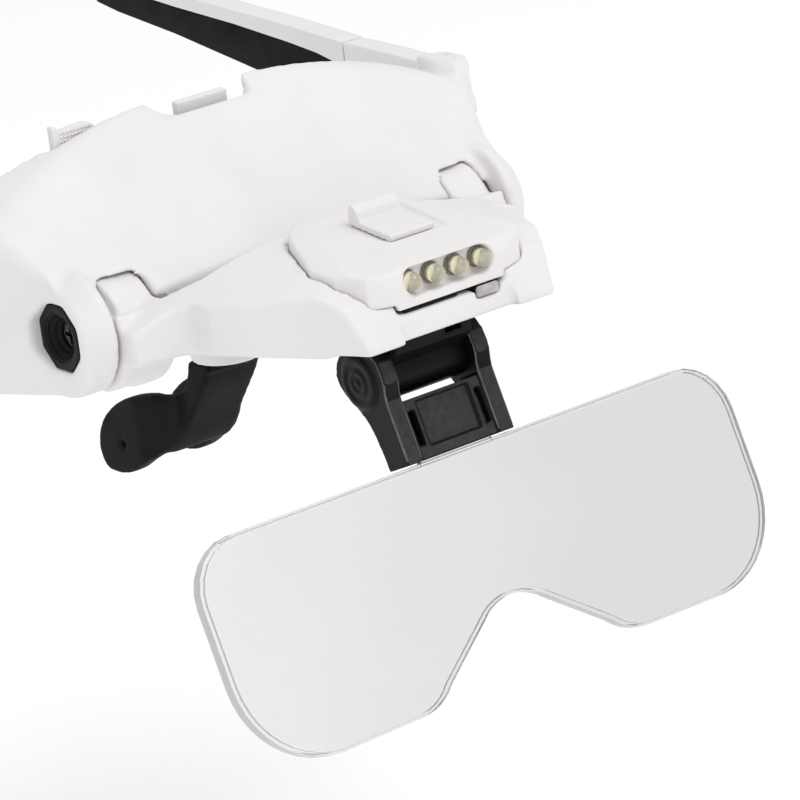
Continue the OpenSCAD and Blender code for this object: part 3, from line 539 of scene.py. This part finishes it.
# raised mould edges along the front of both ears, coloured pale as a painted highlight
edge_glint = Finish("painted glint on black edge", Specular_IOR_Level=0.4)
edge_glint.tint(600, (0.060, 0.062, 0.066), (0.120, 0.122, 0.128))
edge_glint.feed("Roughness", edge_glint.noise(900, 2) * 0.2 + 0.25)
ear_front = [(21.2, -3.5), (20.4, -1.4), (19.2, 0.2), (17.6, 1.1), (15.4, 1.3), (13.8, 1.05),
    (12.4, 0.45), (11, 0.1), (1.0, 0.1)]
for number, x in enumerate((-10.85, -8.15, 8.15, 10.85)):
    rail = bead("ear_edge_%d" % (number + 1), [(x, up, out) for up, out in ear_front], 0.2)
    dressed(rail, "lens_holder", "black_plastic", edge_glint)

# Lens: one plate of clear acrylic cut to the outline of two eye lenses. The faces are polished,
# and the moulded edge is paler than the middle.
clear = Finish("clear acrylic", Roughness=0.015, IOR=1.49, Transmission_Weight=1.0)
# the acrylic is painted lighter towards negative x, the left lens: a painted reflection, with random
# patches over it
across = Socket(clear.tree, clear.node("ShaderNodeSeparateXYZ", Vector=clear.place).outputs["X"])
reflection_stops = [(0.2, (0.685, 0.687, 0.692, 1)), (0.8, (0.805, 0.806, 0.809, 1))]
reflection_tone = clear.node("ShaderNodeValToRGB", {"stops": reflection_stops},
    Fac=clear.noise(30, 2) * 0.5 + 0.08 - across * 10.0)
clear.feed("Base Color", Socket(clear.tree, reflection_tone.outputs["Color"]))
lens = edged("lens", "lens", "clear_acrylic", clear, "lens_plate", 0.0004, 4)
rim = Finish("pale moulded lens edge", IOR=1.49, Transmission_Weight=0.45)
rim.tint(90, (0.86, 0.865, 0.885), (0.95, 0.955, 0.97))
rim.feed("Roughness", rim.noise(400, 3) * 0.25 + 0.08)
faced(lens, rim, lambda centre, normal: abs(normal.dot(lens_front)) < 0.93)

# Every solid that still shows takes the finish of its slot.
slot_finish = {"white_plastic": white, "black_plastic": black, "soft_black": rubber, "foam": foam,
    "steel": metal, "cell_case": nickel, "circuit_board": lacquer, "diode_resin": resin,
    "clear_acrylic": clear}
for part in frame["record"]["subparts"]:
    node = nodes[part["node"]]
    if not node.hide_render:
        node.data.materials.clear()
        node.data.materials.append(slot_finish[part["material_slot"]].material)

# Studio: a white paper floor that glows a little, under soft light from all sides. A wide lamp
# hangs high in front of the object, and a weak one stands low on the left.
floor_mesh = bpy.data.meshes.new("floor")
floor_mesh.from_pydata([(-8, -8, 0), (8, -8, 0), (8, 8, 0), (-8, 8, 0)], [], [(0, 1, 2, 3)])
floor = bpy.data.objects.new("floor", floor_mesh)
floor.location.z = cad_box[0][2] - 0.06
bpy.context.scene.collection.objects.link(floor)
paper = Finish("floor paper", Base_Color=(0.98, 0.98, 0.98, 1), Roughness=0.95, Specular_IOR_Level=0.1,
    Emission_Color=(1, 1, 1, 1), Emission_Strength=0.07)
floor.data.materials.append(paper.material)

world = bpy.data.worlds.new("studio")
bpy.context.scene.world = world
world.use_nodes = True
world.node_tree.nodes["Background"].inputs["Color"].default_value = (1, 0.99, 0.985, 1)
world.node_tree.nodes["Background"].inputs["Strength"].default_value = 0.84


def soft_light(name, place, size, power):
    light = bpy.data.lights.new(name, "AREA")
    light.shape, light.size, light.energy = "DISK", size, power
    made = bpy.data.objects.new(name, light)
    made.location = place
    made.rotation_euler = (-Vector(place)).to_track_quat("-Z", "Y").to_euler()
    bpy.context.scene.collection.objects.link(made)


soft_light("key", (0.2, -0.65, 1.05), 0.7, 4.7)
soft_light("fill", (-0.9, -0.6, 0.15), 0.8, 0.6)

bpy.context.scene.view_settings.view_transform = "Standard"

bpy.context.view_layer.update()
